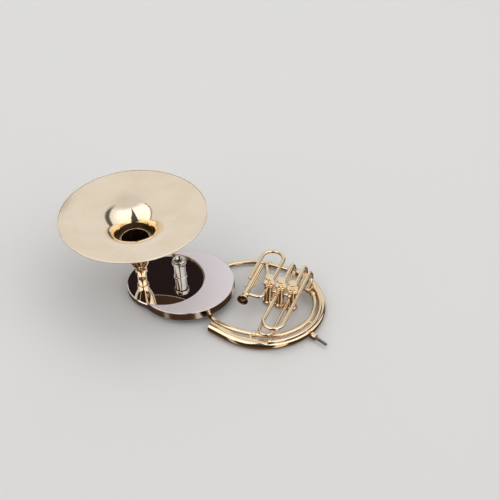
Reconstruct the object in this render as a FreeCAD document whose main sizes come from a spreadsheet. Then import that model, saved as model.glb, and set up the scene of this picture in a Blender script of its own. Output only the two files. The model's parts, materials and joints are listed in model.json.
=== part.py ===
import FreeCAD, Part
import Sketcher
import math
import os
import re

doc = FreeCAD.newDocument("miniature_sousaphone")

# Every driving size, in millimetres and degrees. Alias, value, what it is.
SIZES = [
    ("coil_centre_x", 29.12, "coil centre, from the middle of the whole layout"),
    ("coil_centre_y", 7.15, "coil centre, from the middle of the whole layout"),
    ("coil_radius", 27.85, "centreline of the big outer branch"),
    ("floor_gap", 0.05, "air between a lying tube and the table"),
    ("socket_radius", 2.4, "outside of the receiver at its open mouth"),
    ("socket_end_radius", 2.3, "outside of the receiver where the big branch starts"),
    ("socket_straight", 8.8, "straight run of the receiver at its mouth"),
    ("socket_start_angle", 254.0, "where the receiver starts to bend"),
    ("socket_end_angle", 291.5, "where the receiver meets the big branch"),
    ("socket_bore_radius", 2.13, "bore that takes the bell tenon"),
    ("socket_bore_length", 5.0, "straight depth of that bore"),
    ("branch_start_radius", 2.15, "big branch, thick end"),
    ("branch_end_radius", 1.3, "big branch, thin end"),
    ("branch_end_angle", 436.0, "where the big branch ends, after a turn"),
    ("tube_wall", 0.35, "wall of the coil tubes"),
    ("top_radius", 1.0, "outside of the short top branch"),
    ("second_start_radius", 0.92, "long second branch, at the top ferrule"),
    ("second_end_radius", 1.06, "long second branch, at the front collar"),
    ("inner_end_radius", 0.9, "inner branch, at the tuning slide"),
    ("middle_radius", 0.82, "outside of the middle branch"),
    ("collar_lip", 0.35, "how far a collar stands out of its tube"),
    ("collar_length", 1.7, "length of a collar"),
    ("ferrule_band", 2.8, "length of the silver ferrule on the big branch"),
    ("brace_radius", 0.45, "rod of a brace"),
    ("valve_first_x", 1.7, "first valve axis, from the coil centre"),
    ("valve_row_y", 3.55, "valve row, from the coil centre"),
    ("valve_pitch", 5.65, "valve to valve"),
    ("casing_radius", 2.1, "outside of a valve casing"),
    ("casing_wall", 0.35, "wall of a casing"),
    ("casing_foot", 0.5, "height of the bottom cap underside"),
    ("casing_top", 12.2, "height of the casing mouth"),
    ("cap_radius", 2.6, "top cap"),
    ("cap_height", 1.7, "top cap height"),
    ("cap_top_thick", 0.5, "top cap roof"),
    ("cap_groove", 0.18, "depth of the cap's knurl band groove"),
    ("cap_fit", 0.02, "cap to casing clearance"),
    ("foot_cap_radius", 2.6, "bottom cap"),
    ("foot_cap_height", 1.5, "bottom cap height"),
    ("foot_cap_floor", 0.4, "bottom cap floor"),
    ("piston_fit", 0.05, "radial clearance of the pistons"),
    ("piston_length", 6.6, "piston body"),
    ("stem_radius", 0.6, "valve stem"),
    ("stem_fit", 0.08, "radial clearance of the stem in the cap"),
    ("button_radius", 2.0, "finger button"),
    ("button_thick", 0.9, "finger button thickness"),
    ("button_dish", 0.12, "hollow in the button's top"),
    ("button_gap", 0.8, "air left between a pressed button and its cap"),
    ("stroke", 1.6, "travel of a valve"),
    ("spring_wire", 0.16, "radius of the spring wire"),
    ("spring_radius", 1.25, "centreline of the spring"),
    ("spring_turns", 3.0, "turns of the spring"),
    ("slide_tube_radius", 0.95, "outside of the slide tubes and their bows"),
    ("slide_inner_radius", 0.62, "inner leg of a slide"),
    ("slide_fit", 0.05, "radial clearance of a slide leg"),
    ("slide_seam", 0.12, "seam between sleeve and bow"),
    ("slide_leg", 6.0, "length of an inner leg in its sleeve"),
    ("slide_side", -0.4, "upper slide tube beside its valve axis"),
    ("slide_lean", 0.9, "lower slide tube beside the upper one"),
    ("lower_leg", 2.0, "length of an inner leg in a short sleeve"),
    ("upper_level", 10.0, "height of the upper slide tubes"),
    ("lower_level", 4.9, "height of the lower slide tubes"),
    ("loop_level", 7.4, "height of the fixed lower loop"),
    ("loop_tube_radius", 0.75, "outside of the fixed lower loop"),
    ("loop_side", -0.9, "lower loop beside the valve axes"),
    ("loop_rise_level", 9.95, "where the loop enters the third casing"),
    ("front_slide_x", 6.95, "front slide, left leg"),
    ("front_bow_y", -18.1, "centre of the front slide's bow"),
    ("front_bow_radius", 4.6, "half the width of the front slide"),
    ("front_sleeve_end_y", -6.2, "mouth of the front slide's sleeves"),
    ("lower_bow_y", -21.8, "centre of the lower loop's bow"),
    ("lower_bow_radius", 3.05, "half the width of the lower loop"),
    ("second_bow_y", 20.5, "centre of the second slide's bow"),
    ("third_bow_y", 21.1, "centre of the third slide's bow"),
    ("tuning_bow_y", 18.5, "centre of the tuning slide's bow"),
    ("back_sleeve_end_y", 13.4, "mouth of the second and third slide's sleeves"),
    ("tuning_sleeve_end_y", 16.4, "mouth of the tuning slide's sleeves"),
    ("short_sleeve", 2.4, "length of a short lower sleeve"),
    ("curl_radius", 0.55, "outside of the small return curl"),
    ("curl_front_y", 10.6, "front run of the curl"),
    ("curl_level", 7.35, "height of the curl's front run"),
    ("curl_bend", 1.5, "bend of the curl"),
    ("lead_level", 9.5, "height of the leadpipe"),
    ("lead_x", -6.55, "leadpipe, from the coil centre"),
    ("lead_tube_radius", 1.15, "leadpipe outside"),
    ("lead_front_y", -4.7, "front end of the leadpipe"),
    ("lead_end_y", 16.4, "back end of the leadpipe"),
    ("lead_wall", 0.3, "leadpipe wall"),
    ("neck_tube_radius", 0.88, "gooseneck tube outside"),
    ("neck_front_y", 5.5, "front end of the gooseneck, beside the leadpipe"),
    ("gooseneck_y", 23.2, "centre of the gooseneck's bow"),
    ("receiver_radius", 1.6, "mouthpiece receiver outside"),
    ("receiver_length", 1.65, "mouthpiece receiver length"),
    ("shank_fit", 0.03, "radial clearance of the mouthpiece shank"),
    ("shank_radius", 0.85, "mouthpiece shank outside"),
    ("shank_in", 1.5, "shank length inside the receiver"),
    ("cup_length", 3.3, "mouthpiece from receiver to rim"),
    ("cup_rim_radius", 2.7, "mouthpiece rim outside"),
    ("cup_mouth_radius", 2.1, "mouthpiece cup inside"),
    ("cup_depth", 2.0, "depth of the mouthpiece cup"),
    ("throat_radius", 0.35, "mouthpiece bore"),
    ("rim_roll", 0.32, "roll of the mouthpiece rim"),
    ("guide_rod_radius", 0.4, "rods beside the leadpipe"),
    ("guide_rod_length", 9.2, "rod on the valve side of the leadpipe"),
    ("tail_rod_length", 6.0, "rod that carries the gooseneck's line on"),
    ("link_tube_radius", 0.78, "small valve tubes outside"),
    ("link_x", -0.8, "side of the first valve axis where the front tube meets the casing"),
    ("link_level", 8.6, "height of the first valve's front tube"),
    ("link_y", -3.75, "front run of the first valve's front tube"),
    ("link_bend", 2.4, "bend of the first valve's front tube"),
    ("return_radius", 0.75, "outside of the tube behind the first valve"),
    ("return_angle", 105.5, "where that tube meets the coil"),
    ("port_level", 7.6, "height of the knuckles between casings"),
    ("port_radius", 0.85, "knuckle outside"),
    ("stud_angle", -22.8, "where the mounting stud leaves the coil"),
    ("boss_length", 3.0, "boss of the mounting stud"),
    ("boss_flat", 2.3, "boss across its flats"),
    ("stud_radius", 0.7, "threaded stud, over the thread"),
    ("stud_root_radius", 0.5, "threaded stud, shank inside its boss"),
    ("stud_length", 6.4, "free length of the stud"),
    ("stud_tip", 0.4, "tapered tip of the stud"),
    ("solder_gap", 0.03, "seam left where two tubes meet"),
    ("stand_x", -35.6, "stand centre, from the coil centre"),
    ("stand_y", -5.0, "stand centre, from the coil centre"),
    ("stand_turn", 4.5, "turn of the stand seen from above"),
    ("stand_lean", 5.0, "lean of the stand, which lies on the coil"),
    ("crescent_radius", 22.3, "outside of the crescent"),
    ("crescent_height", 4.5, "top of the crescent over the base's underside"),
    ("edge_round", 0.25, "small edge break"),
    ("pad_thick", 0.6, "pad under the base"),
    ("pad_inset", 0.8, "pad edge inside the base's edge"),
    ("mirror_x", -10.2, "mirror disc centre, from the crescent centre"),
    ("mirror_radius", 18.1, "mirror disc"),
    ("mirror_height", 3.3, "top of the mirror over the base's underside"),
    ("mirror_fit", 0.1, "gap between mirror and crescent"),
    ("mirror_rim", 0.35, "bevel of the mirror's rim"),
    ("post_x", -4.6, "post, from the crescent centre"),
    ("post_y", 4.9, "post, from the crescent centre"),
    ("post_radius", 2.7, "post body"),
    ("post_height", 7.4, "post body height"),
    ("post_foot_radius", 3.1, "flange at the post's foot"),
    ("post_foot_height", 0.7, "flange thickness"),
    ("post_groove", 0.5, "groove under the post cap"),
    ("post_cap_radius", 3.35, "post cap"),
    ("post_cap_height", 3.0, "post cap height"),
    ("post_cap_crown", 1.4, "how far the cap is crowned"),
    ("post_hole_radius", 0.78, "threaded hole for the stud"),
    ("post_hole_depth", 7.6, "depth of that hole"),
    ("post_sink_radius", 1.75, "countersink at that hole's mouth"),
    ("post_sink_depth", 1.0, "depth of the countersink"),
    ("screw_radius", 0.5, "screw that holds the post, shank"),
    ("screw_head_radius", 1.4, "screw that holds the post, head"),
    ("screw_length", 4.6, "screw length over the head"),
    ("screw_fit", 0.05, "clearance round the screw"),
    ("bell_x", -21.8, "bell foot, from the crescent centre"),
    ("bell_y", -0.4, "bell foot, from the crescent centre"),
    ("bell_gap", 0.05, "air under the standing bell"),
    ("bell_height", 39.5, "bell rim over its foot"),
    ("bell_radius", 33.6, "bell at its rim, without the bead"),
    ("bell_wall", 0.45, "bell wall"),
    ("bead_radius", 0.42, "rolled rim bead"),
    ("throat_edge_radius", 8.1, "edge where the flare ends in the throat"),
    ("throat_drop", 10.8, "depth of that edge under the rim"),
    ("throat_ring_radius", 6.5, "bore of the throat ring's lip"),
    ("throat_ring_height", 2.7, "throat ring height"),
    ("throat_lip", 0.4, "lip at the foot of the throat ring"),
    ("neck_sway", -2.0, "sideways bend of the neck"),
    ("neck_wall", 0.4, "neck wall"),
    ("neck_low_radius", 2.45, "neck outside at its ferrule"),
    ("neck_top_radius", 7.3, "neck outside under the throat ring"),
    ("tenon_radius", 2.1, "bell tenon outside"),
    ("tenon_step", 0.2, "how much thinner the tenon is inside its ferrule"),
    ("tenon_length", 3.6, "bell tenon below its ferrule"),
    ("tenon_bore", 1.5, "bell tenon bore"),
    ("ferrule_radius", 2.75, "bell ferrule outside"),
    ("ferrule_length", 2.2, "bell ferrule length"),
    ("overrun", 1.0, "how far a cutter reaches past a face"),
]

sheet = doc.addObject("Spreadsheet::Sheet", "Sizes")
for row, (alias, value, meaning) in enumerate(SIZES, start=1):
    sheet.set("A%d" % row, meaning)
    sheet.set("B%d" % row, repr(value))
    sheet.setAlias("B%d" % row, alias)
doc.recompute()


class Read:
    """The sheet's values by name."""

    def __getattr__(self, alias):
        return float(sheet.get(alias))


mm = Read()
NODES = []


def bound(expression):
    """An expression on the sheet: every name in it is an alias."""
    return re.sub(r"\b[a-z][a-z0-9_]*[a-z0-9]\b(?!\()", r"Sizes.\g<0>", expression)


def coil_place():
    return FreeCAD.Placement(
        FreeCAD.Vector(mm.coil_centre_x, mm.coil_centre_y, 0), FreeCAD.Rotation())


def stand_place():
    """The stand lies on its left edge and on the coil, so it leans."""
    turn = FreeCAD.Rotation(FreeCAD.Vector(0, 0, 1), mm.stand_turn)
    lean = FreeCAD.Rotation(FreeCAD.Vector(0, 1, 0), -mm.stand_lean)
    lift = (mm.mirror_radius - mm.mirror_x - mm.pad_inset) * math.sin(math.radians(mm.stand_lean))
    spot = FreeCAD.Vector(mm.coil_centre_x + mm.stand_x, mm.coil_centre_y + mm.stand_y, lift)
    return FreeCAD.Placement(spot, turn.multiply(lean))


COIL = coil_place()
STAND = stand_place()


def named(obj, label, place):
    obj.Label = label
    obj.Placement = place
    NODES.append(obj)
    return obj


def solid(label, shape, place):
    """A swept or blended piece that no sketch feature makes."""
    piece = doc.addObject("Part::Feature", label)
    piece.Shape = shape
    return named(piece, label, place)


def plane_of(body, role):
    for feature in body.Origin.OriginFeatures:
        if getattr(feature, "Role", "") == role:
            return feature


def outline(body, name, role, points):
    """A closed outline whose corners are bound to the sheet."""
    sketch = body.newObject("Sketcher::SketchObject", name)
    sketch.AttachmentSupport = [(plane_of(body, role), "")]
    sketch.MapMode = "FlatFace"
    count = len(points)
    start = [FreeCAD.Vector(i + 1.0, i * i + 1.0, 0) for i in range(count)]
    for i in range(count):
        sketch.addGeometry(Part.LineSegment(start[i], start[(i + 1) % count]), False)
    for i in range(count):
        sketch.addConstraint(Sketcher.Constraint("Coincident", i, 2, (i + 1) % count, 1))
    for i, (across, along) in enumerate(points):
        for kind, text, centre in (("DistanceX", across, -2), ("DistanceY", along, -1)):
            if text == "0":
                sketch.addConstraint(Sketcher.Constraint("PointOnObject", i, 1, centre))
            else:
                mark = sketch.addConstraint(
                    Sketcher.Constraint(kind, -1, 1, i, 1, start[i].x if kind == "DistanceX" else start[i].y))
                sketch.setExpression("Constraints[%d]" % mark, bound(text))
    return sketch


def turned(label, points, place):
    """A turned piece: an outline of radius and height, revolved."""
    body = doc.addObject("PartDesign::Body", label)
    sketch = outline(body, label + "_outline", "XZ_Plane", points)
    doc.recompute()
    lathe = body.newObject("PartDesign::Revolution", label + "_turn")
    lathe.Profile = sketch
    lathe.ReferenceAxis = (sketch, ["V_Axis"])
    lathe.Angle = 360.0
    sketch.Visibility = False
    body.Tip = lathe
    return named(body, label, place)


def turned_row(label, points, place):
    """A turned piece that repeats at each valve, as one node."""
    body = turned(label, points, place)
    row = body.newObject("PartDesign::LinearPattern", label + "_row")
    row.Originals = [body.Tip]
    row.Direction = (body.Group[0], ["H_Axis"])
    row.setExpression("Length", bound("valve_pitch * 2"))
    row.Occurrences = 3
    body.Tip = row
    return body


def at(place, x, y, z):
    """A place shifted inside its group."""
    return place.multiply(FreeCAD.Placement(FreeCAD.Vector(x, y, z), FreeCAD.Rotation()))


def bent(corners, bend):
    """A wire of straight runs with a round bend at each corner."""
    points = [FreeCAD.Vector(*corner) for corner in corners]
    edges = []
    last = points[0]
    for i in range(1, len(points) - 1):
        radius = bend[i - 1]
        back = (points[i - 1] - points[i]).normalize()
        ahead = (points[i + 1] - points[i]).normalize()
        angle = back.getAngle(ahead)
        reach = radius / math.tan(angle / 2)
        start = points[i] + back * reach
        end = points[i] + ahead * reach
        middle = (back + ahead).normalize()
        centre = points[i] + middle * (radius / math.sin(angle / 2))
        top = centre - middle * radius
        if (start - last).Length > mm.solder_gap:
            edges.append(Part.LineSegment(last, start).toShape())
        edges.append(Part.Arc(start, top, end).toShape())
        last = end
    if (points[-1] - last).Length > mm.solder_gap:
        edges.append(Part.LineSegment(last, points[-1]).toShape())
    return Part.Wire(edges)


def ring(wire, radius, end=False):
    """The round section of a tube at the start or end of its run."""
    edge = wire.OrderedEdges[-1 if end else 0]
    where = edge.LastParameter if end else edge.FirstParameter
    if edge.Orientation == "Reversed":
        where = edge.FirstParameter if end else edge.LastParameter
    spot = edge.valueAt(where)
    way = edge.tangentAt(where)
    return Part.Wire([Part.makeCircle(radius, spot, way)])


def rod(wire, radius, end_radius=None):
    """A solid run of round section, even or tapering."""
    sections = [ring(wire, radius)]
    if end_radius:
        sections.append(ring(wire, end_radius, True))
    return wire.makePipeShell(sections, True, False)


def tube(wire, radius, wall, end_radius=None):
    """A hollow run of round section."""
    inner_end = end_radius - wall if end_radius else None
    return rod(wire, radius, end_radius).cut(rod(wire, radius - wall, inner_end))


def polar(angle, radius, height):
    turn = math.radians(angle)
    return FreeCAD.Vector(radius * math.cos(turn), radius * math.sin(turn), height)


def arc_from(start, way, end):
    """The arc that leaves a point in a given direction and ends at another."""
    chord = end - start
    along = FreeCAD.Vector(chord).normalize()
    side = way - along * way.dot(along)
    if side.Length < 1e-6:
        return Part.LineSegment(start, end).toShape()
    lift = chord.Length / 2 * math.tan(way.getAngle(chord) / 2)
    return Part.Arc(start, (start + end) / 2 + side.normalize() * lift, end).toShape()


def arcs(points, first_way=None, last_way=None):
    """Edges of a smooth run through points: two arcs for each span."""
    points = [FreeCAD.Vector(*point) for point in points]
    count = len(points)
    ways = [None] * count
    for i in range(1, count - 1):
        before, after = points[i] - points[i - 1], points[i + 1] - points[i]
        ways[i] = (before / before.Length ** 2 + after / after.Length ** 2).normalize()
    for here, near, given in ((0, 1, first_way), (count - 1, count - 2, last_way)):
        if given is None:
            chord = (points[near] - points[here]).normalize()
            given = chord * (2 * chord.dot(ways[near])) - ways[near]
        ways[here] = FreeCAD.Vector(given).normalize()
    edges = []
    for i in range(count - 1):
        gap, both = points[i + 1] - points[i], ways[i] + ways[i + 1]
        turn = 2 * (1 - ways[i].dot(ways[i + 1]))
        across = gap.dot(both)
        if turn < 1e-9:
            reach = gap.dot(gap) / (2 * across)
        else:
            reach = (math.sqrt(across ** 2 + turn * gap.dot(gap)) - across) / turn
        middle = (points[i] + ways[i] * reach + points[i + 1] - ways[i + 1] * reach) / 2
        edges.append(arc_from(points[i], ways[i], middle))
        back = arc_from(points[i + 1], ways[i + 1] * -1, middle)
        edges.append(flipped(back, middle, points[i + 1]))
    return edges


def flipped(edge, start, end):
    """The same edge, run the other way."""
    if isinstance(edge.Curve, Part.Line):
        return Part.LineSegment(start, end).toShape()
    middle = edge.valueAt((edge.FirstParameter + edge.LastParameter) / 2)
    return Part.Arc(start, middle, end).toShape()


def collar(spot, way, radius, length, tubes):
    """A soldered ring with its middle at a joint, bored by the tubes it holds."""
    way = FreeCAD.Vector(*way).normalize()
    ring_solid = Part.makeCylinder(radius + mm.collar_lip, length, spot - way * (length / 2), way)
    edges = [edge for edge in ring_solid.Edges if isinstance(edge.Curve, Part.Circle)]
    ring_solid = ring_solid.makeChamfer(mm.collar_lip / 2, edges)
    for piece in tubes:
        ring_solid = ring_solid.cut(piece)
    return max(ring_solid.Solids, key=lambda part: part.Volume)


def skin(wire, radius, end_radius=None):
    """A tube's outside with a seam round it, used to trim what meets it."""
    grown = end_radius + mm.solder_gap if end_radius else None
    return rod(wire, radius + mm.solder_gap, grown)


# The coil: one long tube wound nearly twice round, lying on its side.
# Angles run counter-clockwise from the valve row's direction. Radii are shares of the coil
# radius and heights are shares of the receiver's radius.
TOP_SHARES = ((436.5, 1.0, 0.71), (449.5, 0.976, 0.71), (462.3, 0.998, 0.71))
SECOND_SHARES = (
    (462.8, 0.999, 0.71), (480.0, 1.055, 0.7), (502.0, 1.095, 0.68), (521.0, 1.077, 0.66), (541.5, 1.036, 0.64),
    (561.5, 0.989, 0.72), (591.0, 0.924, 1.19), (618.0, 0.86, 1.62), (640.7, 0.85, 1.79))
INNER_SHARES = ((643.1, 0.851, 1.81), (663.0, 0.898, 2.0), (690.5, 0.917, 2.2), (723.3, 0.887, 2.22), (747.4, 0.845, 2.17))
MIDDLE_SHARES = ((655.9, 1.065, 2.38), (676.9, 1.049, 2.34), (706.5, 1.011, 2.25), (740.5, 0.952, 2.1), (759.7, 0.915, 2.08))


def on_coil(rows):
    """Points of a coil route from its shares."""
    return [polar(angle, share * mm.coil_radius, lift * mm.socket_radius) for angle, share, lift in rows]


def lying(first, last, steps, start, end, lifted=0):
    """Points of a tapering tube that lies on the table, or is lifted at its end by a collar."""
    points = []
    for i in range(steps + 1):
        part = i / steps
        height = start + (end - start) * part + mm.floor_gap + mm.collar_lip * part * lifted
        points.append(polar(first + (last - first) * part, mm.coil_radius, height))
    return points


bend_points = lying(mm.socket_start_angle, mm.socket_end_angle, 2, mm.socket_radius, mm.socket_end_radius)
bend_turn = math.radians(mm.socket_start_angle)
SOCKET_WAY = FreeCAD.Vector(-math.sin(bend_turn), math.cos(bend_turn), 0)
mouth = bend_points[0] - SOCKET_WAY * mm.socket_straight
socket_route = Part.Wire([Part.LineSegment(mouth, bend_points[0]).toShape()] + arcs(bend_points, SOCKET_WAY))
receiver = rod(socket_route, mm.socket_radius, mm.socket_end_radius)
receiver = receiver.cut(rod(socket_route, mm.branch_start_radius - mm.tube_wall))
bore = Part.makeCylinder(
    mm.socket_bore_radius, mm.socket_bore_length + mm.overrun, mouth - SOCKET_WAY * mm.overrun, SOCKET_WAY)
solid("bell_receiver", receiver.cut(bore), COIL)

seam_angle = math.degrees(mm.solder_gap / mm.coil_radius)
branch_points = lying(
    mm.socket_end_angle + seam_angle, mm.branch_end_angle, 5, mm.branch_start_radius, mm.branch_end_radius, 1)
branch_route = Part.Wire(arcs(branch_points))
solid("big_branch", tube(branch_route, mm.branch_start_radius, mm.tube_wall, mm.branch_end_radius), COIL)

top_route = Part.Wire(arcs(on_coil(TOP_SHARES)))
solid("top_branch", rod(top_route, mm.top_radius), COIL)
second_route = Part.Wire(arcs(on_coil(SECOND_SHARES)))
solid("second_branch", rod(second_route, mm.second_start_radius, mm.second_end_radius), COIL)
inner_points = on_coil(INNER_SHARES)
inner_route = Part.Wire(arcs(inner_points))
solid("inner_branch", rod(inner_route, mm.second_end_radius, mm.inner_end_radius), COIL)
middle_route = Part.Wire(arcs(on_coil(MIDDLE_SHARES)))
solid("middle_branch", rod(middle_route, mm.middle_radius), COIL)


def end_of(wire, last=False):
    """The end point and the direction of a run there."""
    edge = wire.OrderedEdges[-1 if last else 0]
    where = edge.LastParameter if last else edge.FirstParameter
    return edge.valueAt(where), edge.tangentAt(where).normalize()


branch_skin = skin(branch_route, mm.branch_start_radius, mm.branch_end_radius)
top_skin = skin(top_route, mm.top_radius)
second_skin = skin(second_route, mm.second_start_radius, mm.second_end_radius)
inner_skin = skin(inner_route, mm.second_end_radius, mm.inner_end_radius)
middle_skin = skin(middle_route, mm.middle_radius)
socket_skin = skin(socket_route, mm.socket_radius, mm.socket_end_radius)
top_start, top_start_way = end_of(top_route)
second_start, second_start_way = end_of(second_route)
second_end, second_end_way = end_of(second_route, True)
inner_end, inner_end_way = end_of(inner_route, True)
middle_start, middle_start_way = end_of(middle_route)
middle_end, middle_end_way = end_of(middle_route, True)
solid("big_branch_ferrule", collar(
    top_start, top_start_way, mm.branch_end_radius, mm.ferrule_band, (branch_skin, top_skin)), COIL)

# Inner branch elbow: brings the inner branch to the tuning slide's lower sleeve.
front_left, front_right = mm.front_slide_x, mm.front_slide_x + 2 * mm.front_bow_radius
short_start = mm.tuning_sleeve_end_y - mm.short_sleeve
elbow_points = [inner_end + inner_end_way * mm.solder_gap,
                FreeCAD.Vector(front_right + mm.slide_lean, short_start - mm.solder_gap, mm.lower_level)]
elbow_route = Part.Wire(arcs(elbow_points, inner_end_way, FreeCAD.Vector(0, 1, 0)))
elbow_skin = skin(elbow_route, mm.inner_end_radius)
solid("inner_branch_elbow", rod(elbow_route, mm.inner_end_radius), COIL)

middle_collar = collar(middle_end, middle_end_way, mm.middle_radius, mm.collar_length, (middle_skin,))
solid("coil_collars", Part.makeCompound([
    collar(second_start, second_start_way, mm.top_radius, mm.collar_length, (top_skin, second_skin)),
    collar(second_end, second_end_way, mm.second_end_radius, mm.collar_length, (second_skin, inner_skin)),
    collar(inner_end, inner_end_way, mm.inner_end_radius, mm.collar_length, (inner_skin, elbow_skin)),
    collar(middle_start, middle_start_way, mm.middle_radius, mm.collar_length, (middle_skin,)),
    middle_collar]), COIL)


def strut(one, other, trims):
    """A brace: a rod from tube to tube, trimmed to both."""
    shape = rod(Part.Wire([Part.LineSegment(one, other).toShape()]), mm.brace_radius)
    for trim in trims:
        shape = shape.cut(trim)
    return max(shape.Solids, key=lambda part: part.Volume)


front_spot = second_end - second_end_way * (mm.collar_length + mm.brace_radius)
BRACES = (
    (front_spot, polar(281.0, mm.coil_radius, mm.socket_radius), (second_skin, socket_skin)),
    (on_coil([(673.0, 1.051, 2.34)])[0], polar(312.5, mm.coil_radius, mm.branch_start_radius),
     (branch_skin, middle_skin)),
    (on_coil([(752.0, 0.93, 2.09)])[0], polar(394.0, mm.coil_radius, mm.branch_end_radius * 1.3),
     (branch_skin, middle_skin)),
    (on_coil([(704.0, 1.014, 2.26)])[0], on_coil([(704.0, 0.908, 2.21)])[0], (middle_skin, inner_skin)),
)
solid("coil_braces", Part.makeCompound([strut(*brace) for brace in BRACES]), COIL)

# Valves: three casings with screwed caps, and in each a piston, its spring and its button.
VALVE_X = [mm.valve_first_x + mm.valve_pitch * i for i in range(3)]
row_y = mm.valve_row_y
SKINS = [Part.makeCylinder(
    mm.casing_radius + mm.solder_gap, mm.casing_top + mm.cap_height, FreeCAD.Vector(x, row_y, 0)) for x in VALVE_X]
CASING = [
    ("casing_radius - casing_wall", "casing_foot + foot_cap_floor + cap_fit"),
    ("casing_radius", "casing_foot + foot_cap_floor + cap_fit"),
    ("casing_radius", "casing_top"),
    ("casing_radius - casing_wall", "casing_top"),
]
TOP_CAP = [
    ("casing_radius + cap_fit", "casing_top + cap_top_thick - cap_height"),
    ("cap_radius - cap_groove", "casing_top + cap_top_thick - cap_height"),
    ("cap_radius", "casing_top + cap_top_thick - cap_height + cap_groove"),
    ("cap_radius", "casing_top - cap_height * 0.35"),
    ("cap_radius - cap_groove", "casing_top - cap_height * 0.28"),
    ("cap_radius - cap_groove", "casing_top - cap_height * 0.2"),
    ("cap_radius", "casing_top - cap_height * 0.13"),
    ("cap_radius", "casing_top + cap_top_thick - cap_groove"),
    ("cap_radius - cap_groove", "casing_top + cap_top_thick"),
    ("stem_radius + stem_fit", "casing_top + cap_top_thick"),
    ("stem_radius + stem_fit", "casing_top + cap_fit"),
    ("casing_radius + cap_fit", "casing_top + cap_fit"),
]
FOOT_CAP = [
    ("0", "casing_foot"),
    ("foot_cap_radius - cap_groove", "casing_foot"),
    ("foot_cap_radius", "casing_foot + cap_groove"),
    ("foot_cap_radius", "casing_foot + foot_cap_height - cap_groove"),
    ("foot_cap_radius - cap_groove", "casing_foot + foot_cap_height"),
    ("casing_radius + cap_fit", "casing_foot + foot_cap_height"),
    ("casing_radius + cap_fit", "casing_foot + foot_cap_floor"),
    ("0", "casing_foot + foot_cap_floor"),
]
BUTTON_UNDER = "casing_top + cap_top_thick + stroke + button_gap"
BUTTON = [
    ("0", "casing_top - stem_fit - button_dish"),
    ("stem_radius * 1.9", "casing_top - stem_fit - button_dish"),
    ("stem_radius * 1.9", "casing_top - stem_fit"),
    ("stem_radius", "casing_top - stem_fit"),
    ("stem_radius", BUTTON_UNDER),
    ("button_radius - button_dish", BUTTON_UNDER),
    ("button_radius", BUTTON_UNDER + " + button_dish"),
    ("button_radius", BUTTON_UNDER + " + button_thick - button_dish"),
    ("button_radius - button_dish", BUTTON_UNDER + " + button_thick"),
    ("button_radius * 0.75", BUTTON_UNDER + " + button_thick"),
    ("0", BUTTON_UNDER + " + button_thick - button_dish"),
]
PISTON = [
    ("0", "casing_top - stem_fit - button_dish - solder_gap - piston_length"),
    ("casing_radius - casing_wall - piston_fit",
     "casing_top - stem_fit - button_dish - solder_gap - piston_length"),
    ("casing_radius - casing_wall - piston_fit", "casing_top - stem_fit - button_dish - solder_gap"),
    ("0", "casing_top - stem_fit - button_dish - solder_gap"),
]
spring_foot = mm.casing_foot + mm.foot_cap_floor + mm.spring_wire + mm.solder_gap
piston_under = mm.casing_top - mm.stem_fit - mm.button_dish - mm.solder_gap - mm.piston_length
spring_height = piston_under - spring_foot - mm.spring_wire - mm.solder_gap


def spring_shape():
    """One unbroken wire in turns, on half-turn arcs."""
    steps = int(round(mm.spring_turns * 2))
    rise = spring_height / steps
    edges = []
    for i in range(steps):
        points = []
        for part in (0, 0.5, 1):
            turn = math.pi * (i + part)
            points.append(FreeCAD.Vector(
                mm.spring_radius * math.cos(turn), mm.spring_radius * math.sin(turn),
                spring_foot + rise * (i + part)))
        edges.append(Part.Arc(*points).toShape())
    return rod(Part.Wire(edges), mm.spring_wire)


print("least gap between spring turns", round(spring_height / mm.spring_turns - 2 * mm.spring_wire, 2))
FIRST_VALVE = at(COIL, VALVE_X[0], row_y, 0)
turned_row("top_valve_caps", TOP_CAP, FIRST_VALVE)
turned_row("bottom_valve_caps", FOOT_CAP, FIRST_VALVE)
for x, name in zip(VALVE_X, ("first", "second", "third")):
    where = at(COIL, x, row_y, 0)
    turned(name + "_valve_casing", CASING, where)
    turned(name + "_valve_button", BUTTON, where)
    turned(name + "_piston", PISTON, where)
    solid(name + "_valve_spring", spring_shape(), where)

# Knuckles: short tubes soldered from casing to casing.
knuckles = []
for i in (0, 1):
    start = FreeCAD.Vector(VALVE_X[i], row_y, mm.port_level)
    bar = Part.makeCylinder(mm.port_radius, mm.valve_pitch, start, FreeCAD.Vector(1, 0, 0))
    bar = bar.cut(Part.makeCylinder(
        mm.port_radius - mm.casing_wall, mm.valve_pitch, start, FreeCAD.Vector(1, 0, 0)))
    knuckles.append(bar.cut(SKINS[i]).cut(SKINS[i + 1]).Solids[0])
solid("valve_knuckles", Part.makeCompound(knuckles), COIL)

# Leadpipe: straight pipe, mouthpiece receiver and mouthpiece, and the gooseneck soldered beside it.
FRONT = FreeCAD.Vector(0, -1, 0)
lead_wire = Part.Wire([Part.LineSegment(
    FreeCAD.Vector(mm.lead_x, mm.lead_front_y, mm.lead_level),
    FreeCAD.Vector(mm.lead_x, mm.lead_end_y, mm.lead_level)).toShape()])
leadpipe = rod(lead_wire, mm.lead_tube_radius).cut(Part.makeCylinder(
    mm.lead_tube_radius - mm.lead_wall, mm.lead_end_y - mm.lead_front_y - mm.lead_wall,
    FreeCAD.Vector(mm.lead_x, mm.lead_front_y, mm.lead_level), FreeCAD.Vector(0, 1, 0)))
solid("leadpipe", leadpipe, COIL)
lead_skin = skin(lead_wire, mm.lead_tube_radius)
MOUTH = COIL.multiply(FreeCAD.Placement(
    FreeCAD.Vector(mm.lead_x, mm.lead_front_y, mm.lead_level), FreeCAD.Rotation(FreeCAD.Vector(0, 0, 1), FRONT)))
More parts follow.
